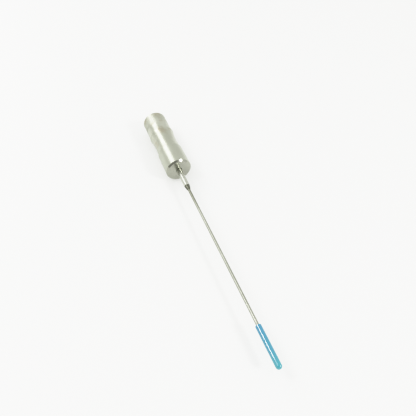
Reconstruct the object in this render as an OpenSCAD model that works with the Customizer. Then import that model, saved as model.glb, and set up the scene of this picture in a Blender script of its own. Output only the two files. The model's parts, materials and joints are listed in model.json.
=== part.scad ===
// Inoculating loop: a short turned chuck handle that grips a ferruled needle.
// The tool lies along X with its working end towards +X, and rests on the plane Z = 0.
// Each piece is drawn on its own turning axis, with 0 at the handle's front face.

/* [Handle] */
// Length of the whole handle, barrel and chuck nut together
handle_len = 36; // [34:0.5:44]
// Diameter of the rear grip over its crests
grip_d = 10.64; // [10.2:0.02:10.8]
// Length of the rear grip
grip_len = 9.2; // [7:0.1:10]
// Diameter of the raised collar in front of the grip
collar_d = 11.1; // [11:0.05:11.4]
// Length of the raised collar, with its long rear slope and short front slope
collar_len = 3.9; // [3.5:0.1:5]
// Smallest diameter of the finger waist
waist_d = 9.94; // [9.5:0.02:10.2]
// Diameter of the drilled handle behind the collet
drill_d = 4.3; // [4.3:0.05:5]

/* [Chuck nut] */
// Length of the chuck nut
nut_len = 11.8; // [11.5:0.1:13.5]
// Diameter of the chuck nut
nut_d = 11; // [10.8:0.05:11.2]
// Diameter of the hole that the ferrule leaves by
nose_hole_d = 2.5; // [2.5:0.05:3.2]
// Thread diameter of the barrel's spigot
thread_d = 8.4; // [8.3:0.05:8.5]
// Thread pitch
thread_pitch = 0.75; // [0.5:0.05:1]

/* [Collet] */
// Diameter of the collet's collar
collet_collar_d = 6.4; // [6.2:0.05:6.5]
// Diameter of the collet's plain tail
collet_tail_d = 4.2; // [4:0.05:4.2]
// Width of the slots between the jaws
slot_w = 0.35; // [0.2:0.05:0.5]

/* [Ferrule and needle] */
// Outer diameter of the ferrule
ferrule_d = 2.35; // [2.2:0.05:2.4]
// Length of the ferrule in front of the handle
ferrule_reach = 9.8; // [6:0.1:12]
// Length of the ferrule inside the handle
ferrule_shank = 14; // [13.5:0.5:18]
// Length of the braze nose in front of the ferrule
nose_len = 2.4; // [1.5:0.05:4]
// Diameter of the needle
needle_d = 1.16; // [1:0.02:1.18]
// Distance from the handle's front face to the end of the needle
needle_reach = 84; // [60:1:90]

/* [Loop and sleeve] */
// Outer width of the wire loop
loop_d = 1.1; // [0.8:0.05:1.1]
// Diameter of the loop's wire
wire_d = 0.22; // [0.16:0.02:0.24]
// Outer diameter of the tip sleeve
sleeve_d = 2.1; // [2:0.02:2.4]
// Bore of the tip sleeve
sleeve_bore_d = 1.26; // [1.26:0.02:1.4]
// Length of the tip sleeve
sleeve_len = 14.7; // [12:0.1:20]
// Distance from the end of the needle to the tip of the sleeve
tip_gap = 6; // [5.5:0.1:8]

/* [Hidden] */
$fn = 96;

// Fits: a running gap between turning pieces, and a hairline between pieces fixed to each other
running_gap = 0.05;
hairline = 0.01;

// Places along the turning axis, with 0 at the front face and the rear negative
total_reach = needle_reach + tip_gap;
rear_z = -handle_len;
collar_z = rear_z + grip_len;
waist_z = collar_z + collar_len;
shoulder_z = -nut_len;

// The tool's centre line stands one collar radius above the surface that it lies on
axis_height = collar_d / 2;
front_face_x = (handle_len - total_reach) / 2;

// Barrel
rim_chamfer = 0.45;
edge_chamfer = 0.2;
collar_rise = 2.6;
collar_fall = 0.8;
waist_shoulder_d = 10.5;
waist_half_len = (shoulder_z - waist_z) / 2 - 0.35;
waist_depth = (waist_shoulder_d - waist_d) / 2;
waist_curve_r = (pow(waist_half_len, 2) + pow(waist_depth, 2)) / (2 * waist_depth);
spigot_z = -6.2;
neck_len = 1.3;
neck_d = thread_d - 0.7;
plug_bore_d = 6;
plug_depth = 4.5;
plug_recess = 0.2;

// Chuck nut
nose_wall = 1.6;
nose_chamfer = 0.1;
front_chamfer = 0.7;
cone_angle = 30;
cone_front_d = 3.4;
cone_back_d = collet_collar_d + 0.2;
cone_len = (cone_back_d - cone_front_d) / 2 / tan(cone_angle);
chamber_d = 6.9;
chamber_z = -6;
groove_d = 7.6;
groove_z = -5.5;
groove_w = 0.5;

// Collet
jaw_front_z = -nose_wall - 0.2;
jaw_front_d = cone_front_d + 0.12;
collar_front_z = -nose_wall - cone_len;
collar_back_z = -4.9;
taper_front_d = 5.8;
taper_back_z = -9.9;
collet_back_z = -13;
slot_end_z = -11.5;
slot_drill_d = 0.7;

// Retaining ring
ring_outer_d = groove_d - 0.2;
ring_inner_d = taper_front_d + 0.1;
ring_opening = 40;

// Loop
loop_ring_r = (loop_d - wire_d) / 2;
loop_z = needle_reach + 4.2;
tail_depth = 2.5;
tip_round = 0.15;

// Helpers

// Puts a piece drawn along Z onto the tool's centre line
module on_axis() {
  translate([front_face_x, 0, axis_height]) rotate([0, 90, 0]) children();
}

// A cylinder from one place on the axis to another
module rod(d, from, to) {
  translate([0, 0, from]) cylinder(d = d, h = to - from);
}

// A cone between two places on the axis
module cone(d_from, d_to, from, to) {
  translate([0, 0, from]) cylinder(d1 = d_from, d2 = d_to, h = to - from);
}

// Pieces

// Grip, collar, waist and threaded spigot, drilled right through
module barrel() {
  color([0.74, 0.74, 0.70]) on_axis() difference() {
    union() {
      rotate_extrude() difference() {
        polygon([
          [0, rear_z],
          [grip_d / 2 - rim_chamfer, rear_z],
          [grip_d / 2, rear_z + rim_chamfer],
          [grip_d / 2, collar_z],
          [collar_d / 2, collar_z + collar_rise],
          [collar_d / 2, waist_z - collar_fall],
          [waist_shoulder_d / 2, waist_z],
          [waist_shoulder_d / 2, shoulder_z],
          [0, shoulder_z]
        ]);
        translate([waist_d / 2 + waist_curve_r, (waist_z + shoulder_z) / 2])
          circle(r = waist_curve_r, $fn = 360);
      }
      rod(neck_d, shoulder_z - 1, shoulder_z + neck_len);
      rod(thread_d, shoulder_z + neck_len, spigot_z - edge_chamfer);
      cone(thread_d, thread_d - 2 * edge_chamfer, spigot_z - edge_chamfer, spigot_z);
    }
    rod(drill_d, rear_z - 1, spigot_z + 1);
    rod(plug_bore_d, rear_z - 1, rear_z + plug_depth);
    collet_seat();
  }
}

// Tapered seat in the mouth of the spigot, a running gap outside the collet's taper
module collet_seat() {
  slope = (taper_front_d - collet_tail_d) / (collar_back_z - taper_back_z);
  seat_mouth_d = taper_front_d - slope * (collar_back_z - spigot_z) + 2 * running_gap;
  cone(collet_tail_d + 2 * running_gap, seat_mouth_d, taper_back_z, spigot_z);
  rod(seat_mouth_d, spigot_z, spigot_z + 1);
}

// Pressed plug that closes the drilled handle
module end_plug() {
  plug_d = plug_bore_d - 2 * hairline;
  color([0.70, 0.70, 0.67]) on_axis() rotate_extrude() polygon([
    [0, rear_z + plug_recess + 0.3],
    [0.3, rear_z + plug_recess],
    [plug_d / 2 - edge_chamfer, rear_z + plug_recess],
    [plug_d / 2, rear_z + plug_recess + edge_chamfer],
    [plug_d / 2, rear_z + plug_depth - hairline],
    [0, rear_z + plug_depth - hairline]
  ]);
}

// Smooth nut with a flat polished face, an inner cone for the collet and a groove for its ring
module chuck_nut() {
  bore_d = thread_d + 2 * running_gap;
  color([0.77, 0.77, 0.73]) on_axis() difference() {
    rotate_extrude() polygon([
      [0, shoulder_z + hairline],
      [nut_d / 2 - edge_chamfer, shoulder_z + hairline],
      [nut_d / 2, shoulder_z + hairline + edge_chamfer],
      [nut_d / 2, -front_chamfer],
      [nut_d / 2 - front_chamfer, 0],
      [0, 0]
    ]);
    rod(nose_hole_d, -nose_wall - 1, 1);
    cone(nose_hole_d, nose_hole_d + 4 * nose_chamfer, -nose_chamfer, nose_chamfer);
    cone(cone_back_d, cone_front_d, collar_front_z, -nose_wall);
    rod(chamber_d, chamber_z - 1, collar_front_z);
    rod(groove_d, groove_z, groove_z + groove_w);
    rod(bore_d, shoulder_z - 1, chamber_z);
  }
}

// Open snap ring behind the collet's collar
module retaining_ring() {
  color([0.50, 0.50, 0.52]) on_axis() rotate([0, 0, ring_opening / 2])
    rotate_extrude(angle = 360 - ring_opening)
      translate([ring_inner_d / 2, groove_z + running_gap])
        square([(ring_outer_d - ring_inner_d) / 2, groove_w - 2 * running_gap]);
}

// Four jaws with a steep cone in front, a long taper behind and a plain tail
module collet() {
  color([0.80, 0.66, 0.36]) on_axis() difference() {
    rotate_extrude() polygon([
      [0, jaw_front_z],
      [jaw_front_d / 2, jaw_front_z],
      [collet_collar_d / 2, collar_front_z + running_gap],
      [collet_collar_d / 2, collar_back_z],
      [taper_front_d / 2, collar_back_z],
      [collet_tail_d / 2, taper_back_z],
      [collet_tail_d / 2, collet_back_z],
      [0, collet_back_z]
    ]);
    rod(ferrule_d + 4 * hairline, collet_back_z - 1, 1);
    for (turn = [0, 90]) rotate([0, 0, turn]) {
      translate([-collet_collar_d, -slot_w / 2, slot_end_z])
        cube([2 * collet_collar_d, slot_w, -slot_end_z]);
      translate([0, 0, slot_end_z]) rotate([0, 90, 0])
        cylinder(d = slot_drill_d, h = 2 * collet_collar_d, center = true);
    }
  }
}

// Steel tube that holds the needle and is held by the collet
module ferrule() {
  wall_chamfer = 0.15;
  color([0.80, 0.80, 0.77]) on_axis() rotate_extrude() polygon([
    [needle_d / 2 + hairline, -ferrule_shank],
    [ferrule_d / 2 - wall_chamfer, -ferrule_shank],
    [ferrule_d / 2, wall_chamfer - ferrule_shank],
    [ferrule_d / 2, ferrule_reach - wall_chamfer],
    [ferrule_d / 2 - wall_chamfer, ferrule_reach],
    [needle_d / 2 + hairline, ferrule_reach]
  ]);
}

// Bullet-shaped nose of braze from the ferrule's mouth down to the needle
module ferrule_braze() {
  foot_r = ferrule_d / 2 - 0.06;
  tip_r = needle_d / 2 + 0.04;
  drop = foot_r - tip_r;
  curve_r = (pow(drop, 2) + pow(nose_len, 2)) / (2 * drop);
  color([0.46, 0.46, 0.40]) on_axis() rotate_extrude() intersection() {
    translate([needle_d / 2 + hairline, ferrule_reach]) square([foot_r, nose_len]);
    translate([foot_r - curve_r, ferrule_reach]) circle(r = curve_r, $fn = 360);
  }
}

// Long straight rod with a rounded end, drilled for the loop's tail
module needle() {
  color([0.72, 0.72, 0.68]) on_axis() difference() {
    union() {
      rod(needle_d, 1 - ferrule_shank, needle_reach - tip_round);
      cone(needle_d, needle_d - 2 * tip_round, needle_reach - tip_round, needle_reach);
    }
    rod(wire_d + 2 * hairline, needle_reach - tail_depth - 0.1, needle_reach + 1);
  }
}

// Closed ring of fine wire on a straight tail
module loop_wire() {
  color([0.62, 0.60, 0.57]) on_axis() {
    rod(wire_d, needle_reach - tail_depth, loop_z - loop_ring_r);
    translate([0, 0, loop_z]) rotate([90, 0, 0]) rotate_extrude()
      translate([loop_ring_r, 0]) circle(d = wire_d, $fn = 32);
  }
}

// Small bead of braze where the tail leaves the needle
module loop_braze() {
  bead_len = 0.7;
  color([0.50, 0.48, 0.42]) on_axis() rotate_extrude() polygon([
    [wire_d / 2 + hairline, needle_reach + hairline],
    [needle_d / 2 - tip_round, needle_reach + hairline],
    [wire_d / 2 + 0.16, needle_reach + 0.35],
    [wire_d / 2 + 0.05, needle_reach + bead_len],
    [wire_d / 2 + hairline, needle_reach + bead_len]
  ]);
}

// Soft closed sleeve over the loop and the end of the needle
module tip_sleeve() {
  mouth_round = 0.15;
  open_z = total_reach - sleeve_len;
  dome_z = total_reach - sleeve_d / 2;
  bore_end_z = total_reach - 1.5;
  color([0.35, 0.66, 0.76]) on_axis() difference() {
    union() {
      cone(sleeve_d - 2 * mouth_round, sleeve_d, open_z, open_z + mouth_round);
      rod(sleeve_d, open_z + mouth_round, dome_z);
      translate([0, 0, dome_z]) sphere(d = sleeve_d);
    }
    rod(sleeve_bore_d, open_z - 1, bore_end_z);
    translate([0, 0, bore_end_z]) sphere(d = sleeve_bore_d);
  }
}

barrel();
end_plug();
chuck_nut();
retaining_ring();
collet();
ferrule();
ferrule_braze();
needle();
loop_wire();
loop_braze();
tip_sleeve();
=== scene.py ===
"""Looks for the inoculating loop: a turned steel chuck handle, a ferruled needle and a blue tip sleeve.

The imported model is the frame. Each sub-assembly has a class, which reads where its CAD nodes lie. It makes
their finer meshes in millimetres along the tool's centre line, or keeps their CAD meshes, and dresses them.
"""

from __future__ import annotations

import json
import logging
import math
from collections.abc import Callable, Sequence
from dataclasses import dataclass, replace
from enum import Enum

import bmesh
import bpy
from mathutils import Matrix, Vector


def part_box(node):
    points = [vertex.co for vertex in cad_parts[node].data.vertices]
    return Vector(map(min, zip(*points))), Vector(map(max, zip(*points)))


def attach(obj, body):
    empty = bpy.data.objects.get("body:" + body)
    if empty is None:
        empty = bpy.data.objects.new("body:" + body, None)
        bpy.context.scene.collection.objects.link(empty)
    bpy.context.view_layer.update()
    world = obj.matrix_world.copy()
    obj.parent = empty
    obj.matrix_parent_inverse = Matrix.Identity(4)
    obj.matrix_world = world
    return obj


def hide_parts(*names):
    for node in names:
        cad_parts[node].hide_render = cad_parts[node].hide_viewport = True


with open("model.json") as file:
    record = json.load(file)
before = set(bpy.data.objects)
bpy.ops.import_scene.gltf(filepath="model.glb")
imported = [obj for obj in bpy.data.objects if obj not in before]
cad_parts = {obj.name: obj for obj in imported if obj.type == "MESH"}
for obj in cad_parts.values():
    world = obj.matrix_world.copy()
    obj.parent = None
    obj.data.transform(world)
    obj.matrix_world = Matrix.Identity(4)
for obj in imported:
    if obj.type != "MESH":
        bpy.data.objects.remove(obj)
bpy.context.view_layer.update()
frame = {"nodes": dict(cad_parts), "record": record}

LOG = logging.getLogger("inoculating_loop")
MM = 0.001
TURN = 2 * math.pi
Outline = list[tuple[float, float]]
Faces = list[tuple[int, ...]]
Colour = tuple[float, float, float]
Relief = Callable[[float, float, float], float]


# Places


@dataclass(frozen=True)
class CentreLine:
    """The tool's turning axis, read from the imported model.

    Lengths along it are in millimetres from the handle's front face, positive towards the working end.
    """

    face_x: float
    height: float

    @classmethod
    def from_frame(cls) -> CentreLine:
        """Read the axis from the chuck nut's box.

        Returns:
            The centre line, in metres in the shared frame.
        """
        low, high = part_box("chuck_nut")
        return cls(face_x=high.x, height=(low.z + high.z) / 2)

    def place(self, along: float, radius: float, turn: float) -> Vector:
        """Turn cylinder coordinates into a point of the shared frame.

        Args:
            along: Millimetres in front of the handle's front face.
            radius: Millimetres from the axis.
            turn: Angle about the axis in radians, from +Y towards +Z.

        Returns:
            The point in metres.
        """
        across = radius * math.cos(turn)
        up = radius * math.sin(turn)
        return Vector((self.face_x + along * MM, across * MM, self.height + up * MM))

    def span(self, node: str) -> tuple[float, float, float]:
        """Measure a CAD node along the axis.

        Args:
            node: The CAD node's name.

        Returns:
            Its back end, its front end and its largest radius, in millimetres.
        """
        low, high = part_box(node)
        back = (low.x - self.face_x) / MM
        front = (high.x - self.face_x) / MM
        return back, front, (high.z - low.z) / 2 / MM


AXIS = CentreLine.from_frame()


# Shader building


class Value:
    """A number socket of a shader, with Python operators that add Math nodes."""

    def __init__(self, graph: Graph, socket: bpy.types.NodeSocket) -> None:
        """Wrap one output socket of a graph's node."""
        self.graph = graph
        self.socket = socket

    def _maths(self, operation: str, *operands: Value | float) -> Value:
        """Add one Math node and return its result."""
        node = self.graph.node("ShaderNodeMath", {"operation": operation}, dict(enumerate(operands)))
        return Value(self.graph, node.outputs[0])

    def __add__(self, other: Value | float) -> Value:
        """Return self + other."""
        return self._maths("ADD", self, other)

    __radd__ = __add__

    def __mul__(self, other: Value | float) -> Value:
        """Return self * other."""
        return self._maths("MULTIPLY", self, other)

    __rmul__ = __mul__

    def __sub__(self, other: Value | float) -> Value:
        """Return self - other."""
        return self._maths("SUBTRACT", self, other)

    def __rsub__(self, other: Value | float) -> Value:
        """Return other - self."""
        return self._maths("SUBTRACT", other, self)

    def ramp(self, low: float, high: float) -> Value:
        """Map the value from low..high to a smooth 0..1.

        Args:
            low: The value that gives 0.
            high: The value that gives 1.

        Returns:
            The smoothed and clamped value.
        """
        settings = {"interpolation_type": "SMOOTHSTEP"}
        inputs = {"Value": self, "From Min": low, "From Max": high, "To Min": 0.0, "To Max": 1.0}
        return Value(self.graph, self.graph.node("ShaderNodeMapRange", settings, inputs).outputs[0])


class Graph:
    """A material's node tree, with tool coordinates in millimetres."""

    def __init__(self, name: str) -> None:
        """Start a material that holds one Principled shader.

        Args:
            name: The material's name.
        """
        self.material = bpy.data.materials.new(name)
        self.material.use_nodes = True
        self.tree = self.material.node_tree
        self.tree.nodes.clear()
        self.shader = self.node("ShaderNodeBsdfPrincipled")
        output = self.node("ShaderNodeOutputMaterial")
        self.tree.links.new(self.shader.outputs[0], output.inputs["Surface"])
        where = self.node("ShaderNodeTexCoord").outputs["Object"]
        origin = (AXIS.face_x, 0.0, AXIS.height)
        moved = self.node("ShaderNodeVectorMath", {"operation": "SUBTRACT"}, {0: where, 1: origin})
        scale = {0: moved.outputs[0], "Scale": 1 / MM}
        self.point = self.node("ShaderNodeVectorMath", {"operation": "SCALE"}, scale).outputs[0]
        parts = self.node("ShaderNodeSeparateXYZ", {}, {0: self.point})
        self.along = Value(self, parts.outputs[0])
        flat = {0: self.point, 1: (0.0, 1.0, 1.0)}
        radial = self.node("ShaderNodeVectorMath", {"operation": "MULTIPLY"}, flat).outputs[0]
        length = self.node("ShaderNodeVectorMath", {"operation": "LENGTH"}, {0: radial})
        self.radius = Value(self, length.outputs["Value"])

    def node(
        self,
        kind: str,
        settings: dict[str, object] | None = None,
        inputs: dict[int | str, object] | None = None,
    ) -> bpy.types.Node:
        """Add one node.

        Args:
            kind: Blender's name of the node type.
            settings: Properties that are set before the sockets; "stops" fills a colour ramp.
            inputs: What each socket gets: a Value, another node's socket, or a constant.

        Returns:
            The new node.
        """
        made = self.tree.nodes.new(kind)
        for name, setting in (settings or {}).items():
            if name == "stops":
                self._fill_ramp(made.color_ramp, setting)
            else:
                setattr(made, name, setting)
        for key, given in (inputs or {}).items():
            source = given.socket if isinstance(given, Value) else given
            if isinstance(source, bpy.types.NodeSocket):
                self.tree.links.new(source, made.inputs[key])
            else:
                made.inputs[key].default_value = source
        return made

    @staticmethod
    def _fill_ramp(ramp: bpy.types.ColorRamp, stops: Sequence[tuple[float, Colour]]) -> None:
        """Set a colour ramp's stops.

        Args:
            ramp: The colour ramp.
            stops: Its (position, colour) pairs.
        """
        while len(ramp.elements) < len(stops):
            ramp.elements.new(1.0)
        for element, (position, colour) in zip(ramp.elements, stops):
            element.position = position
            element.color = (*colour, 1.0)

    def noise(self, size: float, detail: float = 2.0, stretch: Colour = (1.0, 1.0, 1.0)) -> Value:
        """Add noise in tool coordinates.

        Args:
            size: Size of its features in millimetres.
            detail: Octaves of finer noise.
            stretch: How many times finer the noise is along X, Y and Z.

        Returns:
            A value around 0.5.
        """
        scaled = self.node("ShaderNodeVectorMath", {"operation": "MULTIPLY"}, {0: self.point, 1: stretch})
        inputs = {"Vector": scaled.outputs[0], "Scale": 1 / size, "Detail": detail}
        return Value(self, self.node("ShaderNodeTexNoise", {"noise_dimensions": "3D"}, inputs).outputs[0])

    def lines(self, distance: Value, size: float, detail: float = 3.0) -> Value:
        """Add noise that changes with one distance only, as tool marks do.

        Args:
            distance: The distance that it follows, in millimetres.
            size: Width of a mark in millimetres.
            detail: Octaves of finer marks.

        Returns:
            A value around 0.5.
        """
        inputs = {"W": distance, "Scale": 1 / size, "Detail": detail}
        return Value(self, self.node("ShaderNodeTexNoise", {"noise_dimensions": "1D"}, inputs).outputs[0])

    def blend(self, share: Value, first: object, second: object) -> bpy.types.NodeSocket:
        """Mix two colours.

        Args:
            share: 0 gives the first colour and 1 the second.
            first: A colour or a colour socket.
            second: A colour or a colour socket.

        Returns:
            The mixed colour's socket.
        """
        colours = [(*c, 1.0) if isinstance(c, tuple) else c for c in (first, second)]
        inputs = {0: share, 6: colours[0], 7: colours[1]}
        return self.node("ShaderNodeMix", {"data_type": "RGBA"}, inputs).outputs[2]

    def bump(
        self, height: Value, depth: float, under: bpy.types.NodeSocket | None = None
    ) -> bpy.types.NodeSocket:
        """Add a Bump node.

        Args:
            height: Surface height from 0 to 1.
            depth: What a height of 1 stands for, in millimetres.
            under: The normal of a coarser bump, if there is one.

        Returns:
            The bumped normal's socket.
        """
        inputs = {"Height": height, "Distance": depth * MM, "Strength": 1.0}
        if under is not None:
            inputs["Normal"] = under
        return self.node("ShaderNodeBump", {}, inputs).outputs[0]

    def finish(self, **sockets: object) -> bpy.types.Material:
        """Set the Principled shader's sockets.

        Args:
            **sockets: What each socket gets, by its name with _ for a space.

        Returns:
            The finished material.
        """
        for name, given in sockets.items():
            source = given.socket if isinstance(given, Value) else given
            target = self.shader.inputs[name.replace("_", " ")]
            if isinstance(source, bpy.types.NodeSocket):
                self.tree.links.new(source, target)
            elif isinstance(source, tuple):
                target.default_value = (*source, 1.0)
            else:
                target.default_value = source
        return self.material


# Finishes


class Marks(Enum):
    """Which way the tool marks of a metal surface run."""

    TURNED = "rings round the axis"
    FACED = "rings on an end face"
    DRAWN = "lines along the axis"


@dataclass(frozen=True)
class Steel:
    """Bare metal with tool marks, faint smears and a slightly uneven tone."""

    name: str
    marks: Marks
    light: Colour = (0.455, 0.475, 0.395)
    dark: Colour = (0.395, 0.41, 0.335)
    rough: float = 0.30
    rough_spread: float = 0.10
    mark_size: float = 0.12
    mark_depth: float = 0.002
    mark_share: float = 0.35
    smear_size: float = 5.0
    smear_range: tuple[float, float] = (0.35, 0.68)
    stain: Colour = (0.36, 0.33, 0.24)
    stain_share: float = 0.0
    stain_size: float = 3.2
    stain_range: tuple[float, float] = (0.52, 0.70)

    def _mark_lines(self, graph: Graph) -> Value:
        """Add the tool marks.

        Args:
            graph: The material's graph.

        Returns:
            Their height, around 0.5.
        """
        if self.marks is Marks.TURNED:
            return graph.lines(graph.along, self.mark_size)
        if self.marks is Marks.FACED:
            return graph.lines(graph.radius, self.mark_size)
        return graph.noise(self.mark_size, 2.0, (0.02, 1.0, 1.0))

    def tone(self, graph: Graph, marks: Value) -> bpy.types.NodeSocket:
        """Mix the metal's colour from smears, marks and stains.

        Args:
            graph: The material's graph.
            marks: Height of the tool marks.

        Returns:
            The colour's socket.
        """
        smears = graph.noise(self.smear_size, 3.0, (0.6, 1.0, 1.0)).ramp(*self.smear_range)
        clean = graph.blend(smears * (1 - self.mark_share) + marks * self.mark_share, self.dark, self.light)
        if not self.stain_share:
            return clean
        patches = graph.noise(self.stain_size, 3.0, (0.8, 1.0, 1.0)).ramp(*self.stain_range)
        return graph.blend(patches * self.stain_share, clean, self.stain)

    def material(self) -> bpy.types.Material:
        """Build the finish's material.

        Returns:
            The new material.
        """
        graph = Graph(self.name)
        marks = self._mark_lines(graph)
        smears = graph.noise(self.smear_size * 0.4, 3.0)
        from_marks = marks * (self.rough_spread * 0.5)
        rough = from_marks + smears * self.rough_spread + (self.rough - self.rough_spread * 0.75)
        normal = graph.bump(marks, self.mark_depth)
        colour = self.tone(graph, marks)
        return graph.finish(Base_Color=colour, Metallic=1.0, Roughness=rough, Normal=normal)


@dataclass(frozen=True)
class SteelWithPaintedReflection(Steel):
    """Drawn steel with a painted dark reflection near a brazed joint."""

    joint_at: float = 12.0
    reach: float = 16.0
    # Colour and strength of the painted dark reflection beside the joint.
    painted_reflection: Colour = (0.17, 0.175, 0.13)
    painted_reflection_share: float = 0.9
    cloud_size: float = 1.5
    cloud_reach: float = 3.0

    def tone(self, graph: Graph, marks: Value) -> bpy.types.NodeSocket:
        """Mix the drawn metal's colour, darker beside the joint: a painted dark reflection.

        Args:
            graph: The material's graph.
            marks: Height of the tool marks.

        Returns:
            The colour's socket.
        """
        plain = Steel.tone(self, graph, marks)
        cloud = graph.noise(self.cloud_size) * self.cloud_reach - self.cloud_reach / 2
        # Painted dark reflection: strongest at the joint, fading along the needle.
        painted_reflection_mask = 1 - (graph.along + cloud).ramp(self.joint_at, self.joint_at + self.reach)
        return graph.blend(painted_reflection_mask * self.painted_reflection_share, plain, self.painted_reflection)


@dataclass(frozen=True)
class Braze:
    """Dark, slightly lumpy braze with a duller flux film in its hollows."""

    name: str
    metal: Colour = (0.14, 0.145, 0.11)
    film: Colour = (0.065, 0.07, 0.048)
    lump_size: float = 0.45
    lump_height: float = 0.05
    pit_size: float = 0.12
    pit_depth: float = 0.01

    def material(self) -> bpy.types.Material:
        """Build the braze's material.

        Returns:
            The new material.
        """
        graph = Graph(self.name)
        lumps = graph.noise(self.lump_size, 3.0)
        pits = graph.noise(self.pit_size)
        film = lumps.ramp(0.42, 0.62)
        normal = graph.bump(pits, self.pit_depth, graph.bump(lumps, self.lump_height))
        colour = graph.blend(film, self.metal, self.film)
        return graph.finish(
            Base_Color=colour, Metallic=1 - film * 0.45, Roughness=film * 0.22 + 0.24, Normal=normal
        )


@dataclass(frozen=True)
class Plastic:
    """Glossy soft moulding whose colour shifts along its length, with faint flow marks."""

    name: str
    mouth: float
    tip: float
    mouth_colour: Colour = (0.0, 0.18, 0.32)
    middle_colour: Colour = (0.0, 0.20, 0.31)
    tip_colour: Colour = (0.0, 0.25, 0.31)
    flow_size: float = 0.8
    flow_height: float = 0.006
    flow_shift: float = 2.4
    haze_size: float = 0.35
    rough: float = 0.12
    coat_rough: float = 0.05
    coat_ior: float = 2.0

    def material(self) -> bpy.types.Material:
        """Build the sleeve's material.

        Returns:
            The new material.
        """
        graph = Graph(self.name)
        flow = graph.noise(self.flow_size, 2.0, (0.25, 1.0, 1.0))
        spot = graph.along + flow * self.flow_shift - self.flow_shift / 2
        length = self.tip - self.mouth
        towards_middle = spot.ramp(self.mouth, self.mouth + 0.45 * length)
        towards_tip = spot.ramp(self.mouth + 0.55 * length, self.tip)
        first = graph.blend(towards_middle, self.mouth_colour, self.middle_colour)
        haze = graph.noise(self.haze_size, 3.0)
        return graph.finish(
            Base_Color=graph.blend(towards_tip, first, self.tip_colour),
            Roughness=haze * self.rough + self.rough,
            Normal=graph.bump(flow, self.flow_height),
            IOR=1.49,
            Specular_IOR_Level=0.0,
            Coat_Weight=1.0,
            Coat_Roughness=self.coat_rough,
            Coat_IOR=self.coat_ior,
        )


Finish = Steel | Braze | Plastic


# Meshes


@dataclass(frozen=True)
class Corner:
    """One corner of a turned outline, in millimetres along and out from the axis."""

    along: float
    radius: float
    round: float = 0.0


def rounded(corners: Sequence[Corner], closed: bool = True, steps: int = 4) -> Outline:
    """Replace each corner that has a radius by an arc.

    Args:
        corners: The outline's corners in order.
        closed: Whether the last corner joins the first.
        steps: Stretches in each arc.

    Returns:
        Points (along, radius) in order.
    """
    points: Outline = []
    count = len(corners)
    for index, corner in enumerate(corners):
        here = Vector((corner.along, corner.radius))
        if corner.round <= 0 or (not closed and index in (0, count - 1)):
            points.append((here.x, here.y))
            continue
        before = corners[index - 1]
        after = corners[(index + 1) % count]
        back = (Vector((before.along, before.radius)) - here).normalized()
        on = (Vector((after.along, after.radius)) - here).normalized()
        half = back.angle(on) / 2
        centre = here + (back + on).normalized() * (corner.round / math.sin(half))
        start = here + back * (corner.round / math.tan(half)) - centre
        end = here + on * (corner.round / math.tan(half)) - centre
        sweep = start.angle_signed(end)
        for step in range(steps + 1):
            spoke = start.copy()
            spoke.rotate(Matrix.Rotation(-sweep * step / steps, 2))
            points.append((centre.x + spoke.x, centre.y + spoke.y))
    return points


def stretches(items: Sequence, closed: bool) -> list[tuple]:
    """Return each item with the one after it, the last with the first if they are closed in a loop."""
    return list(zip(items, [*items[1:], items[0]] if closed else items[1:]))


def divided(outline: Outline, low: float, high: float, step: float, closed: bool = True) -> Outline:
    """Add points so that no stretch of an outline between two places is longer than a step.

    Args:
        outline: Points (along, radius).
        low: Where the fine stretch begins along the axis.
        high: Where it ends.
        step: The longest stretch allowed there.
        closed: Whether the last point joins the first.

    Returns:
        The outline with the added points.
    """
    points: Outline = []
    for (along, radius), (next_along, next_radius) in stretches(outline, closed):
        points.append((along, radius))
        if min(along, next_along) >= low - 1e-6 and max(along, next_along) <= high + 1e-6:
            parts = max(1, math.ceil(abs(next_along - along) / step - 1e-6))
            for part in range(1, parts):
                share = part / parts
                points.append((along + (next_along - along) * share, radius + (next_radius - radius) * share))
    return points if closed else [*points, outline[-1]]


def braced(outline: Outline, closed: bool, guard: float = 0.04, least: float = 8.0) -> Outline:
    """Add a point close to both ends of every long stretch, so that smooth shading stays at the corners.

    Args:
        outline: Points (along, radius).
        closed: Whether the last point joins the first.
        guard: Distance of the added points from the ends, in millimetres.
        least: How many times the guard a stretch must be to count as long.

    Returns:
        The outline with the added points.
    """
    points: Outline = []
    for here, after in stretches(outline, closed):
        points.append(here)
        reach = math.dist(here, after)
        if reach > least * guard:
            for share in (guard / reach, 1 - guard / reach):
                points.append(tuple(a + (b - a) * share for a, b in zip(here, after)))
    return points if closed else [*points, outline[-1]]


def new_piece(name: str, points: list[Vector], faces: Faces, sharp_angle: float = 32.0) -> bpy.types.Object:
    """Make a smooth-shaded piece, with outward normals and its sharp edges kept.

    Args:
        name: The piece's name.
        points: Its mesh's points, in metres in the shared frame.
        faces: The points of each face.
        sharp_angle: Edges that bend more than this stay sharp, in degrees.

    Returns:
        The linked object.
    """
    mesh = bpy.data.meshes.new(name)
    mesh.from_pydata(points, [], faces)
    work = bmesh.new()
    work.from_mesh(mesh)
    bmesh.ops.recalc_face_normals(work, faces=work.faces)
    work.to_mesh(mesh)
    work.free()
    mesh.shade_smooth()
    mesh.set_sharp_from_angle(angle=math.radians(sharp_angle))
    made = bpy.data.objects.new(name, mesh)
    bpy.context.scene.collection.objects.link(made)
    return made


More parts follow.
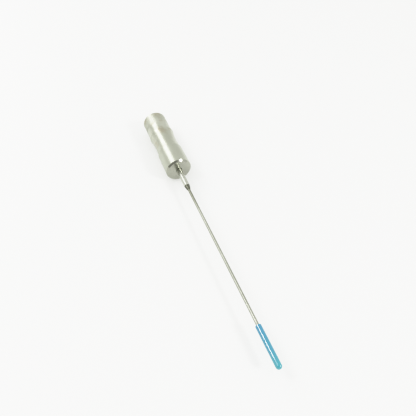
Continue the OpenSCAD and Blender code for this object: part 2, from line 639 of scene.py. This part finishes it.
def lathe(
    name: str, outline: Outline, segments: int, relief: Relief | None = None, closed: bool = True
) -> bpy.types.Object:
    """Turn an outline about the centre line.

    Args:
        name: The piece's name.
        outline: Points (along, radius). An open outline starts and ends on the axis.
        segments: Facets round the axis.
        relief: How deep the surface is cut at (along, turn, radius), in millimetres, if it has a pattern.
        closed: Whether the outline is a loop round a bore.

    Returns:
        The new object.
    """
    points: list[Vector] = []
    rings: list[list[int]] = []
    for along, radius in braced(outline, closed):
        if radius < 1e-6:
            rings.append([len(points)] * segments)
            points.append(AXIS.place(along, 0.0, 0.0))
            continue
        rings.append(list(range(len(points), len(points) + segments)))
        for step in range(segments):
            turn = TURN * step / segments
            cut = relief(along, turn, radius) if relief else 0.0
            points.append(AXIS.place(along, radius - cut, turn))
    faces: Faces = []
    for ring, following in stretches(rings, closed):
        for step in range(segments):
            after = (step + 1) % segments
            loop = (ring[step], ring[after], following[after], following[step])
            faces.append(tuple(dict.fromkeys(loop)))
    return new_piece(name, points, faces)


def sweep(name: str, path: Sequence[Vector], radius: float, sides: int) -> bpy.types.Object:
    """Make a round wire along a path.

    Args:
        name: The piece's name.
        path: Points of its centre line, in metres.
        radius: The wire's radius in metres.
        sides: Facets round the wire.

    Returns:
        The new object, a little thinner at both ends.
    """
    end_share = 0.55
    count = len(path)
    tangents = [(path[min(i + 1, count - 1)] - path[max(i - 1, 0)]).normalized() for i in range(count)]
    side = tangents[0].orthogonal().normalized()
    points: list[Vector] = []
    for index, (centre, tangent) in enumerate(zip(path, tangents)):
        side = (side - tangent * side.dot(tangent)).normalized()
        other = tangent.cross(side)
        thin = end_share if index in (0, count - 1) else 1.0
        for step in range(sides):
            turn = TURN * step / sides
            points.append(centre + (side * math.cos(turn) + other * math.sin(turn)) * radius * thin)
    faces: Faces = []
    for start in range(0, (count - 1) * sides, sides):
        for step in range(sides):
            after = (step + 1) % sides
            faces.append((start + step, start + after, start + sides + after, start + sides + step))
    faces.append(tuple(range(sides)))
    faces.append(tuple(range((count - 1) * sides, count * sides)))
    return new_piece(name, points, faces, sharp_angle=60.0)


def dress(piece: bpy.types.Object, body: str, slot: str, finishes: Sequence[Finish], *replaced: str) -> None:
    """Give a new piece its finishes, hang it on its body and hide the CAD nodes that it stands for.

    Args:
        piece: The new piece.
        body: The CAD body that it rides on.
        slot: The record's material slot that it belongs to; not used.
        finishes: Its finishes, the first for every face.
        *replaced: The CAD nodes that it stands for.
    """
    for finish in finishes:
        piece.data.materials.append(finish.material())
    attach(piece, body)
    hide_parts(*replaced)
    LOG.info("%s rides on %s", piece.name, body)


def repaint(node: str, finish: Finish) -> None:
    """Give a carried-over CAD node a better finish.

    Args:
        node: The CAD node's name.
        finish: Its new finish.
    """
    piece = frame["nodes"][node]
    piece.data.materials.clear()
    piece.data.materials.append(finish.material())
    LOG.info("%s keeps its CAD mesh", node)


def face_band(piece: bpy.types.Object, low: float, high: float, slot_index: int, least: float) -> None:
    """Use another of a piece's finishes between two places.

    Args:
        piece: The piece.
        low: Start of the band along the axis, in millimetres.
        high: End of the band.
        slot_index: Which of the piece's finishes the band gets.
        least: Only faces further than this from the axis, in millimetres.
    """
    for polygon in piece.data.polygons:
        along = (polygon.center.x - AXIS.face_x) / MM
        out = math.hypot(polygon.center.y, polygon.center.z - AXIS.height) / MM
        if low <= along <= high and out >= least:
            polygon.material_index = slot_index


# Patterns cut in turned surfaces


@dataclass(frozen=True)
class Knurl:
    """A fine diamond knurl between two places on a round grip."""

    start: float
    end: float
    round_count: int = 56
    depth: float = 0.10
    lead_angle: float = 30.0
    flat: float = 0.22
    fade: float = 0.35

    def pitch(self, radius: float) -> float:
        """Return the knurl's pitch along the axis on a grip of this radius."""
        return TURN * radius / self.round_count / math.tan(math.radians(self.lead_angle))

    def cut(self, along: float, turn: float, radius: float) -> float:
        """Cut the grooves.

        Args:
            along: Place along the axis, in millimetres.
            turn: Angle about the axis in radians.
            radius: Radius of the uncut surface, in millimetres.

        Returns:
            How deep the surface is cut there, in millimetres.
        """
        if not self.start < along < self.end:
            return 0.0
        steps_round = self.round_count * turn / TURN
        steps_along = (along - self.start) / self.pitch(radius)
        grooves = [abs(2 * ((steps_round + way * steps_along) % 1.0) - 1) for way in (1, -1)]
        edge = min(1.0, (along - self.start) / self.fade, (self.end - along) / self.fade)
        return self.depth * edge * max(0.0, (max(grooves) - self.flat) / (1 - self.flat))


@dataclass(frozen=True)
class Thread:
    """A right-hand V thread between two places on the axis."""

    start: float
    end: float
    pitch: float
    depth: float = 0.36
    crest: float = 0.16
    fade: float = 0.35

    def cut(self, along: float, turn: float) -> float:
        """Cut the thread.

        Args:
            along: Place along the axis, in millimetres.
            turn: Angle about the axis in radians.

        Returns:
            How deep the surface is cut there, in millimetres.
        """
        if not self.start < along < self.end:
            return 0.0
        phase = (along / self.pitch - turn / TURN) % 1.0
        wave = abs(2 * phase - 1)
        shape = min(1.0, max(0.0, (wave - self.crest) / (1 - 2 * self.crest)))
        edge = min(1.0, (along - self.start) / self.fade, (self.end - along) / self.fade)
        return self.depth * edge * shape


# Sub-assemblies


@dataclass
class Handle:
    """The barrel, its end plug and the chuck nut.

    Sizes are in millimetres. They repeat the CAD model's inner sizes, which a node's box doesn't give.
    """

    segments: int = 224
    grip_radius: float = 5.32
    grip_length: float = 9.2
    plain_length: float = 1.7
    collar_length: float = 3.9
    collar_rise: float = 2.6
    collar_fall: float = 0.8
    waist_radius: float = 4.97
    waist_shoulder: float = 5.25
    waist_margin: float = 0.35
    rim: float = 0.45
    edge: float = 0.2
    rim_round: float = 0.12
    edge_round: float = 0.08
    neck_round: float = 0.1
    collar_rounds: tuple[float, float, float, float] = (20.0, 8.0, 1.0, 0.6)
    knurl_margin: float = 0.25
    drill_radius: float = 2.15
    plug_radius: float = 3.0
    plug_depth: float = 4.5
    plug_recess: float = 0.2
    plug_round: float = 0.05
    press_gap: float = 0.01
    centre_depth: float = 0.75
    centre_radius: float = 0.22
    centre_mouth: float = 0.5
    thread_radius: float = 4.2
    thread_gap: float = 0.05
    thread_lead: float = 0.35
    neck_length: float = 1.3
    neck_radius: float = 3.85
    spigot_front: float = -6.2
    seat_back: float = -9.9
    seat_radius: float = 2.742
    nose_hole: float = 1.25
    hole_chamfer: float = 0.1
    hole_round: float = 0.03
    nose_wall: float = 1.6
    nut_round: float = 0.06
    mouth_chamfer: float = 0.3
    mouth_flare: float = 0.25
    front_chamfer: float = 0.7
    cone_front: float = 1.7
    cone_back: float = 3.3
    cone_angle: float = 30.0
    chamber_radius: float = 3.45
    chamber_back: float = -6.0
    groove_radius: float = 3.8
    groove: tuple[float, float] = (-5.5, -5.0)
    polish_margin: float = 0.05
    hairline: float = 0.005
    satin: Steel = Steel("satin_turned_steel", Marks.TURNED)
    worn: Steel = Steel(
        "worn_satin_steel", Marks.TURNED, (0.49, 0.505, 0.42), (0.38, 0.395, 0.32),
        smear_size=3.0, stain_share=0.7,
    )
    grip_finish: Steel = replace(worn, name="knurled_steel", rough=0.36, mark_size=0.3)
    # The faced and lapped finishes are darker than the barrel's steel: painted shade, for the shaded table
    # that the nut's front face mirrors.
    faced_painted_shade: Steel = Steel(
        "polished_face_steel_painted_shade", Marks.FACED, (0.37, 0.375, 0.32), (0.32, 0.325, 0.275), rough=0.14,
        rough_spread=0.06, mark_size=0.1, mark_depth=0.0008,
    )
    lapped_painted_shade: Steel = replace(
        faced_painted_shade, name="lapped_face_steel_painted_shade", light=(0.385, 0.39, 0.335), dark=(0.335, 0.34, 0.29), rough=0.24
    )

    def __post_init__(self) -> None:
        """Read where the barrel and the nut lie."""
        self.rear, _, self.collar_radius = AXIS.span("barrel")
        self.shoulder, _, self.nut_radius = AXIS.span("chuck_nut")
        ratio = next(c["ratio"] for c in frame["record"]["behaviour"]["couplings"])
        self.pitch = TURN / ratio / MM

    def waist(self, steps: int = 28) -> list[Corner]:
        """Lay out the hollow of the finger waist as an arc.

        Args:
            steps: Stretches in the arc.

        Returns:
            Its points, as corners that aren't rounded.
        """
        low = self.rear + self.grip_length + self.collar_length + self.waist_margin
        high = self.shoulder - self.waist_margin
        half = (high - low) / 2
        sag = self.waist_shoulder - self.waist_radius
        curve = (half * half + sag * sag) / (2 * sag)
        corners = []
        for step in range(steps + 1):
            offset = -half + 2 * half * step / steps
            depth = math.sqrt(curve * curve - offset * offset) - (curve - sag)
            corners.append(Corner(low + half + offset, self.waist_shoulder - depth))
        return corners

    def barrel(self) -> None:
        """Turn the barrel, with its knurl and its thread."""
        rear = self.rear
        collar = rear + self.grip_length
        waist = collar + self.collar_length
        neck = self.shoulder + self.neck_length
        bore = self.drill_radius
        rise_foot, rise_top, fall_top, fall_foot = self.collar_rounds
        corners = [
            Corner(rear, self.plug_radius, self.edge_round),
            Corner(rear, self.grip_radius - self.rim, self.rim_round),
            Corner(rear + self.rim, self.grip_radius, self.rim_round),
            Corner(collar, self.grip_radius, rise_foot),
            Corner(collar + self.collar_rise, self.collar_radius, rise_top),
            Corner(waist - self.collar_fall, self.collar_radius, fall_top),
            Corner(waist, self.waist_shoulder, fall_foot),
            *self.waist(),
            Corner(self.shoulder, self.waist_shoulder, self.edge_round),
            Corner(self.shoulder, self.neck_radius, self.neck_round),
            Corner(neck, self.neck_radius, self.neck_round),
            Corner(neck + self.thread_lead, self.thread_radius),
            Corner(self.spigot_front - self.edge, self.thread_radius),
            Corner(self.spigot_front, self.thread_radius - self.edge),
            Corner(self.spigot_front, self.seat_radius, self.edge_round),
            Corner(self.seat_back, bore),
            Corner(rear + self.plug_depth, bore),
            Corner(rear + self.plug_depth, self.plug_radius),
        ]
        knurl = Knurl(rear + self.rim + self.knurl_margin, collar - self.plain_length)
        thread = Thread(neck, self.spigot_front, self.pitch)
        outline = rounded(corners)
        outline = divided(outline, rear + self.rim, collar, knurl.pitch(self.grip_radius) / 4)
        outline = divided(outline, neck, self.spigot_front, self.pitch / 8)

        def relief(along: float, turn: float, radius: float) -> float:
            """Return the depth of the knurl or the thread, which are in the outer surface only."""
            if along > neck:
                return thread.cut(along, turn) if radius > self.neck_radius + self.neck_round else 0.0
            return knurl.cut(along, turn, radius) if radius > self.waist_radius else 0.0

        made = lathe("barrel_body", outline, self.segments, relief)
        dress(made, "barrel", "barrel_steel", [self.worn, self.grip_finish], "barrel")
        face_band(made, rear + self.rim, collar - self.plain_length, 1, self.waist_radius)

    def nut(self) -> None:
        """Turn the chuck nut, with its inner thread and its polished face."""
        bore = self.thread_radius + self.thread_gap
        back = self.shoulder
        radius = self.nut_radius
        hole = self.nose_hole
        soft = self.nut_round
        thread_back = back + self.mouth_chamfer
        cone_length = (self.cone_back - self.cone_front) / math.tan(math.radians(self.cone_angle))
        cone_end = -self.nose_wall - cone_length
        corners = [
            Corner(back, bore + self.mouth_flare),
            Corner(back, radius - self.edge, soft),
            Corner(back + self.edge, radius, soft),
            Corner(-self.front_chamfer, radius, soft),
            Corner(0.0, radius - self.front_chamfer, soft),
            Corner(0.0, hole + self.hole_chamfer, self.hole_round),
            Corner(-self.hole_chamfer, hole, self.hole_round),
            Corner(-self.nose_wall, hole),
            Corner(-self.nose_wall, self.cone_front),
            Corner(cone_end, self.cone_back),
            Corner(cone_end, self.chamber_radius),
            Corner(self.groove[1], self.chamber_radius),
            Corner(self.groove[1], self.groove_radius),
            Corner(self.groove[0], self.groove_radius),
            Corner(self.groove[0], self.chamber_radius),
            Corner(self.chamber_back, self.chamber_radius),
            Corner(self.chamber_back, bore),
            Corner(thread_back, bore),
        ]
        thread = Thread(thread_back, self.chamber_back, self.pitch)
        outline = divided(rounded(corners), thread_back, self.chamber_back, self.pitch / 8)

        def relief(along: float, turn: float, radius: float) -> float:
            """Cut the thread in the bore only."""
            return thread.cut(along, turn) if abs(radius - bore) < self.hairline else 0.0

        made = lathe("chuck_nut_body", outline, self.segments, relief)
        dress(made, "nut", "nut_steel", [self.satin, self.faced_painted_shade, self.lapped_painted_shade], "chuck_nut")
        # The chamfer and the front face get the darker finishes, whose colour is painted shade.
        face_band(made, self.polish_margin - self.front_chamfer, soft, 1, hole)
        face_band(made, -self.hairline, soft, 2, hole)

    def plug(self) -> None:
        """Turn the pressed end plug, with the centre that it was drilled from."""
        radius = self.plug_radius - self.press_gap
        face = self.rear + self.plug_recess
        inside = self.rear + self.plug_depth - self.press_gap
        corners = [
            Corner(face + self.centre_depth, 0.0),
            Corner(face + self.centre_depth - self.edge, self.centre_radius),
            Corner(face, self.centre_mouth, self.plug_round),
            Corner(face, radius - self.edge, self.plug_round),
            Corner(face + self.edge, radius, self.plug_round),
            Corner(inside - self.mouth_chamfer, radius),
            Corner(inside, radius - self.mouth_chamfer),
            Corner(inside, 0.0),
        ]
        made = lathe("end_plug_body", rounded(corners, closed=False), 96, closed=False)
        # The plug shares the faced finish and its painted shade colour.
        dress(made, "barrel", "plug_steel", [self.faced_painted_shade], "end_plug")

    def build(self) -> None:
        """Build the handle's pieces."""
        self.barrel()
        self.nut()
        self.plug()


@dataclass
class Chuck:
    """The collet and the ring that keeps it in the nut. Both keep their exact CAD meshes."""

    brass: Steel = Steel("turned_brass", Marks.TURNED, (0.83, 0.62, 0.28), (0.62, 0.43, 0.17), rough=0.24)
    spring: Steel = Steel("blued_spring_steel", Marks.FACED, (0.16, 0.18, 0.24), (0.07, 0.08, 0.11))

    def build(self) -> None:
        """Dress the two pieces."""
        repaint("collet", self.brass)
        repaint("retaining_ring", self.spring)


@dataclass
class LoopInsert:
    """The ferrule, the needle brazed in it, and the wire loop at the needle's end. Sizes in millimetres."""

    hairline: float = 0.01
    nose_edge: float = 0.04
    lump_depth: float = 0.12
    wire_radius: float = 0.105
    wrap_turns: float = 2.5
    wrap_pitch: float = 0.26
    wrap_gap: float = 0.012
    wrap_start: float = 0.02
    path_steps: tuple[int, int, int] = (24, 72, 40)
    loop_opening: float = 0.42
    loop_neck: float = 0.28
    bore_gap: float = 0.015
    bore_depth: float = 2.6
    tail_gap: float = 0.15
    bead_length: float = 0.69
    bead_rise: float = 0.25
    bead_rim: float = 0.035
    tube_rounds: tuple[float, float, float] = (0.15, 0.2, 0.04)
    needle_rounds: tuple[float, float, float] = (0.1, 0.18, 0.03)
    needle_step: float = 2.0
    drawn: Steel = Steel(
        "drawn_tube_steel", Marks.DRAWN, (0.50, 0.515, 0.45), (0.42, 0.43, 0.37), rough=0.26,
        rough_spread=0.06, mark_size=0.08, mark_depth=0.001,
    )
    # The needle's finish, darker beside the brazed joint by a painted dark reflection.
    painted_reflection_steel: SteelWithPaintedReflection = SteelWithPaintedReflection(
        "needle_steel_painted_reflection", Marks.DRAWN, (0.37, 0.38, 0.325), (0.30, 0.31, 0.26), rough=0.26,
        rough_spread=0.08, mark_size=0.07, mark_depth=0.001,
    )
    alloy: Steel = Steel(
        "loop_alloy", Marks.DRAWN, (0.52, 0.50, 0.46), (0.36, 0.33, 0.30), rough=0.24,
        mark_size=0.05, mark_depth=0.001, smear_size=0.8,
    )
    braze: Braze = Braze("dark_braze")

    def __post_init__(self) -> None:
        """Read where the pieces lie."""
        self.tube_back, self.tube_front, self.tube_radius = AXIS.span("ferrule")
        self.needle_back, self.needle_front, self.needle_radius = AXIS.span("needle")
        _, self.nose_front, self.nose_radius = AXIS.span("ferrule_braze")
        _, self.loop_front, _ = AXIS.span("loop_wire")
        low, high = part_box("loop_wire")
        self.loop_half_width = (high.z - low.z) / 2 / MM

    def ferrule(self) -> None:
        """Turn the ferrule's tube with rounded ends."""
        inner = self.needle_radius + self.hairline
        back_round, front_round, bore_round = self.tube_rounds
        corners = [
            Corner(self.tube_back, inner, bore_round),
            Corner(self.tube_back, self.tube_radius, back_round),
            Corner(self.tube_front, self.tube_radius, front_round),
            Corner(self.tube_front, inner, bore_round),
        ]
        made = lathe("ferrule_tube", rounded(corners, steps=6), 96)
        dress(made, "insert", "ferrule_steel", [self.drawn], "ferrule")

    def nose(self) -> None:
        """Turn the nose of braze, slightly lumpy, from the ferrule's mouth down to the needle."""
        back = self.tube_front
        length = self.nose_front - back
        tip = self.needle_radius + self.nose_edge
        inner = self.needle_radius + self.hairline
        drop = self.nose_radius - tip
        curve = (drop * drop + length * length) / (2 * drop)
        steps = 30
        outer = []
        for step in range(steps + 1):
            far = length * step / steps
            outer.append((back + far, self.nose_radius - curve + math.sqrt(curve * curve - far * far)))
        outline = [(back, inner), *outer, (self.nose_front, inner)]

        def lump(along: float, turn: float, radius: float) -> float:
            """Lower the surface a little, by waves that are slow round and along.

            Args:
                along: Place along the axis, in millimetres.
                turn: Angle about the axis in radians.
                radius: Radius of the plain surface, in millimetres.

            Returns:
                How far the surface is lowered, in millimetres.
            """
            if radius <= inner + 1e-6:
                return 0.0
            share = (along - back) / length
            fade = math.sin(math.pi * min(1.0, max(0.0, share))) * (radius - inner)
            wave = math.sin(turn * 2 + along * 2.1) + 0.6 * math.sin(turn * 3 - along * 3.7)
            return self.lump_depth * fade * (1 + 0.5 * wave)

        made = lathe("ferrule_braze_nose", outline, 72, lump)
        dress(made, "insert", "braze_metal", [self.braze], "ferrule_braze")

    def needle(self) -> None:
        """Turn the needle, drilled at its end for the loop's tail."""
        radius = self.needle_radius
        hole = self.wire_radius + self.bore_gap
        tip = self.needle_front
        back_round, tip_round, hole_round = self.needle_rounds
        corners = [
            Corner(self.needle_back, 0.0),
            Corner(self.needle_back, radius, back_round),
            Corner(tip, radius, tip_round),
            Corner(tip, hole, hole_round),
            Corner(tip - self.bore_depth, hole),
            Corner(tip - self.bore_depth, 0.0),
        ]
        outline = rounded(corners, closed=False, steps=6)
        outline = divided(outline, self.needle_back, tip, self.needle_step, closed=False)
        made = lathe("needle_rod", outline, 64, closed=False)
        # The needle's darkening next to the braze is a painted dark reflection.
        finish = replace(self.painted_reflection_steel, joint_at=self.nose_front)
        dress(made, "insert", "needle_steel", [finish], "needle")

    def bead(self) -> None:
        """Turn the small bead of braze at the needle's end."""
        back = self.needle_front + self.hairline
        inner = self.wire_radius + self.bore_gap
        steps = 12
        outline: Outline = [(back, inner)]
        for step in range(steps + 1):
            share = step / steps
            radius = inner + self.bead_rim + self.bead_rise * (1 - share) ** 2.2
            outline.append((back + self.bead_length * share, radius))
        outline.append((back + self.bead_length, inner))
        made = lathe("loop_braze_bead", outline, 48)
        dress(made, "insert", "braze_metal", [self.braze], "loop_braze")

    def loop_path(self) -> list[Vector]:
        """Follow the wire from the needle's bore, round the loop and back in a wrap round its own tail.

        Returns:
            Points in metres, close enough together to look round.
        """
        ring = self.loop_half_width - self.wire_radius
        centre = self.loop_front - self.loop_half_width
        tail_back = self.needle_front - self.bore_depth + self.tail_gap
        neck = centre - ring - self.loop_neck
        tail_steps, ring_steps, turn_steps = self.path_steps
        flat = [
            (tail_back + (neck - tail_back) * step / tail_steps, 0.0) for step in range(tail_steps + 1)
        ]
        start = self.loop_opening - math.pi
        sweep_angle = TURN - 2 * self.loop_opening
        for step in range(ring_steps + 1):
            turn = start + sweep_angle * step / ring_steps
            flat.append((centre + ring * math.cos(turn), -ring * math.sin(turn)))
        path = [self._flat(along, up) for along, up in flat]
        wrap_radius = 2 * self.wire_radius + self.wrap_gap
        last_along, last_up = flat[-1]
        below = 1.5 * math.pi
        steps = round(turn_steps * self.wrap_turns)
        for step in range(1, steps + 1):
            share = step / steps
            turn = below + TURN * self.wrap_turns * share
            lead_in = last_along + (neck + self.wrap_start - last_along) * min(1.0, share * 4)
            along = lead_in - self.wrap_pitch * self.wrap_turns * share
            ease = min(1.0, share * 5)
            radius = wrap_radius * ease - last_up * (1 - ease)
            path.append(AXIS.place(along, radius, turn))
        return path

    @staticmethod
    def _flat(along: float, up: float) -> Vector:
        """Return a point of the loop's own upright plane, in metres."""
        return Vector((AXIS.face_x + along * MM, 0.0, AXIS.height + up * MM))

    def loop(self) -> None:
        """Bend the loop's wire."""
        made = sweep("loop_wire_bent", self.loop_path(), self.wire_radius * MM, 14)
        dress(made, "insert", "loop_alloy", [self.alloy], "loop_wire")

    def build(self) -> None:
        """Build the insert's pieces."""
        self.ferrule()
        self.nose()
        self.needle()
        self.bead()
        self.loop()


@dataclass
class TipSleeve:
    """The soft blue sleeve that guards the loop. Sizes in millimetres."""

    bore: float = 0.63
    bore_end: float = 1.5
    lip: float = 0.14
    segments: int = 80

    def build(self) -> None:
        """Turn the sleeve: a rounded lip, a plain tube and a domed end, hollow inside."""
        mouth, tip, radius = AXIS.span("tip_sleeve")
        outline = rounded(
            [
                Corner(mouth, self.bore, self.lip * 0.7),
                Corner(mouth, radius, self.lip),
                Corner(mouth + 2.0, radius),
            ],
            closed=False,
            steps=6,
        )
        outline = [(mouth + self.lip, self.bore), *outline[1:]]
        steps = 20
        for step in range(steps + 1):
            turn = math.pi / 2 * step / steps
            outline.append((tip - radius + radius * math.sin(turn), max(0.0, radius * math.cos(turn))))
        inner_end = tip - self.bore_end
        inside = [(inner_end + self.bore, 0.0)]
        for step in range(1, steps // 2 + 1):
            turn = math.pi / 2 * (1 - 2 * step / steps)
            inside.append((inner_end + self.bore * math.sin(turn), self.bore * math.cos(turn)))
        made = lathe("tip_sleeve_moulding", [*inside, *outline], self.segments, closed=False)
        finish = Plastic("glossy_blue_plastic", mouth=mouth, tip=tip)
        dress(made, "sleeve", "sleeve_plastic", [finish], "tip_sleeve")


# Studio


def rectangle(name: str, width: float, height: float) -> bpy.types.Mesh:
    """Make a flat rectangle about the origin, facing up.

    Args:
        name: The mesh's name.
        width: Its size along X, in millimetres.
        height: Its size along Y, in millimetres.

    Returns:
        The new mesh.
    """
    across, up = width / 2 * MM, height / 2 * MM
    mesh = bpy.data.meshes.new(name)
    corners = [(-across, -up, 0), (across, -up, 0), (across, up, 0), (-across, up, 0)]
    mesh.from_pydata(corners, [], [(0, 1, 2, 3)])
    return mesh


@dataclass(frozen=True)
class Panel:
    """A flat panel that faces the tool, with its height in line with the tool's axis.

    Its direction points from the tool to the panel, its distance and size are in millimetres, and a glow of 1
    is about as bright as white paper in the room.
    """

    name: str
    direction: Colour
    distance: float
    size: tuple[float, float]
    glow: float

    def hang(self, data: bpy.types.ID) -> bpy.types.Object:
        """Hang a light or a mesh in the panel's place.

        Args:
            data: The light or the mesh.

        Returns:
            The linked object.
        """
        towards = Vector(self.direction).normalized()
        up = (Vector((1.0, 0.0, 0.0)) - towards * towards.x).normalized()
        turn = Matrix((up.cross(towards), up, towards)).transposed()
        made = bpy.data.objects.new(self.name, data)
        made.location = Vector((0.0, 0.0, AXIS.height)) + towards * self.distance * MM
        made.rotation_mode = "QUATERNION"
        made.rotation_quaternion = turn.to_quaternion()
        bpy.context.scene.collection.objects.link(made)
        return made

    def window(self) -> None:
        """Hang the panel as a soft area of light."""
        data = bpy.data.lights.new(self.name, "AREA")
        data.shape = "RECTANGLE"
        data.size, data.size_y = (s * MM for s in self.size)
        data.energy = self.glow * math.pi * data.size * data.size_y
        self.hang(data)

    def card(self) -> None:
        """Hang the panel as a dim card that only polished metal sees."""
        mesh = rectangle(self.name, *self.size)
        dull = {"Base_Color": (0.0, 0.0, 0.0), "Roughness": 1.0, "Specular_IOR_Level": 0.0}
        glow = {"Emission_Color": (1.0, 1.0, 0.95), "Emission_Strength": self.glow}
        mesh.materials.append(Graph(self.name).finish(**dull, **glow))
        made = self.hang(mesh)
        made.visible_camera = False
        made.visible_diffuse = False
        made.visible_shadow = False


@dataclass
class Studio:
    """Table, light and camera. Lengths are in millimetres and angles in degrees."""

    azimuth: float = 68.36
    elevation: float = 48.65
    distance: float = 170.8
    aim: tuple[float, float] = (19.6, 5.3)
    lens: float = 36.35
    sensor: float = 36.0
    clip: tuple[float, float] = (5.0, 10000.0)
    table_size: float = 1600.0
    table_colour: Colour = (0.62, 0.63, 0.61)
    table_glow: float = 0.36
    cloud_size: float = 60.0
    room_glow: float = 1.12
    warm_white: Colour = (1.0, 1.0, 0.985)
    windows: tuple[Panel, ...] = (
        Panel("back_window", (-0.61, -0.435, 0.657), 700.0, (270.0, 800.0), 3.2),
        Panel("front_lamp", (0.61, 0.50, 0.61), 700.0, (105.0, 105.0), 60.0),
        Panel("tip_lamp", (-0.262, -0.537, 0.803), 684.0, (105.0, 80.0), 18.0),
    )
    dark_card: Panel = Panel("dark_card", (0.66, -0.38, 0.65), 500.0, (1300.0, 150.0), 0.45)
    white_level: float = 2.0
    shown_tones: tuple[tuple[float, float], ...] = (
        (0.4, 0.4), (0.6, 0.585), (0.8, 0.735), (1.0, 0.84), (1.3, 0.92), (1.6, 0.96),
    )

    def camera(self) -> None:
        """Stand the camera and make it the scene's own."""
        turn = math.radians(self.azimuth)
        rise = math.radians(self.elevation)
        back = Vector((math.sin(turn) * math.cos(rise), -math.cos(turn) * math.cos(rise), math.sin(rise)))
        aim = Vector((AXIS.face_x + self.aim[0] * MM, self.aim[1] * MM, 0.0))
        data = bpy.data.cameras.new("camera")
        data.lens = self.lens
        data.sensor_width = self.sensor
        data.clip_start, data.clip_end = (end * MM for end in self.clip)
        made = bpy.data.objects.new("camera", data)
        made.location = aim + back * self.distance * MM
        made.rotation_mode = "QUATERNION"
        made.rotation_quaternion = back.to_track_quat("Z", "Y")
        bpy.context.scene.collection.objects.link(made)
        bpy.context.scene.camera = made

    def table(self) -> None:
        """Lay the plain pale table top."""
        mesh = rectangle("table_top", self.table_size, self.table_size)
        made = bpy.data.objects.new("table_top", mesh)
        bpy.context.scene.collection.objects.link(made)
        graph = Graph("pale_table")
        cloud = graph.noise(self.cloud_size)
        low = tuple(c * 0.985 for c in self.table_colour)
        colour = graph.blend(cloud, low, self.table_colour)
        glow = {"Emission_Color": self.warm_white, "Emission_Strength": self.table_glow}
        mesh.materials.append(graph.finish(Base_Color=colour, Roughness=cloud * 0.1 + 0.4, **glow))

    def surroundings(self) -> None:
        """Fill the room with even soft light."""
        world = bpy.data.worlds.new("soft_room")
        world.use_nodes = True
        background = next(n for n in world.node_tree.nodes if n.type == "BACKGROUND")
        background.inputs["Color"].default_value = (*self.warm_white, 1.0)
        background.inputs["Strength"].default_value = self.room_glow
        bpy.context.scene.world = world

    def exposure(self) -> None:
        """Roll the brightest tones off softly, as a bright white table needs."""
        settings = bpy.context.scene.view_settings
        settings.view_transform = "Standard"
        settings.use_curve_mapping = True
        mapping = settings.curve_mapping
        mapping.white_level = (self.white_level,) * 3
        curve = mapping.curves[3]
        for brightness, shown in self.shown_tones:
            curve.points.new(brightness / self.white_level, shown)
        mapping.update()

    def build(self) -> None:
        """Set up the table, the light and the camera."""
        self.camera()
        self.table()
        self.surroundings()
        for panel in self.windows:
            panel.window()
        self.dark_card.card()
        self.exposure()


def main() -> None:
    """Build the studio and every sub-assembly."""
    logging.basicConfig(level=logging.INFO, format="%(message)s")
    Studio().build()
    for part in (Handle(), Chuck(), LoopInsert(), TipSleeve()):
        LOG.info("building %s", type(part).__name__)
        part.build()


if __name__ == "__main__":
    main()
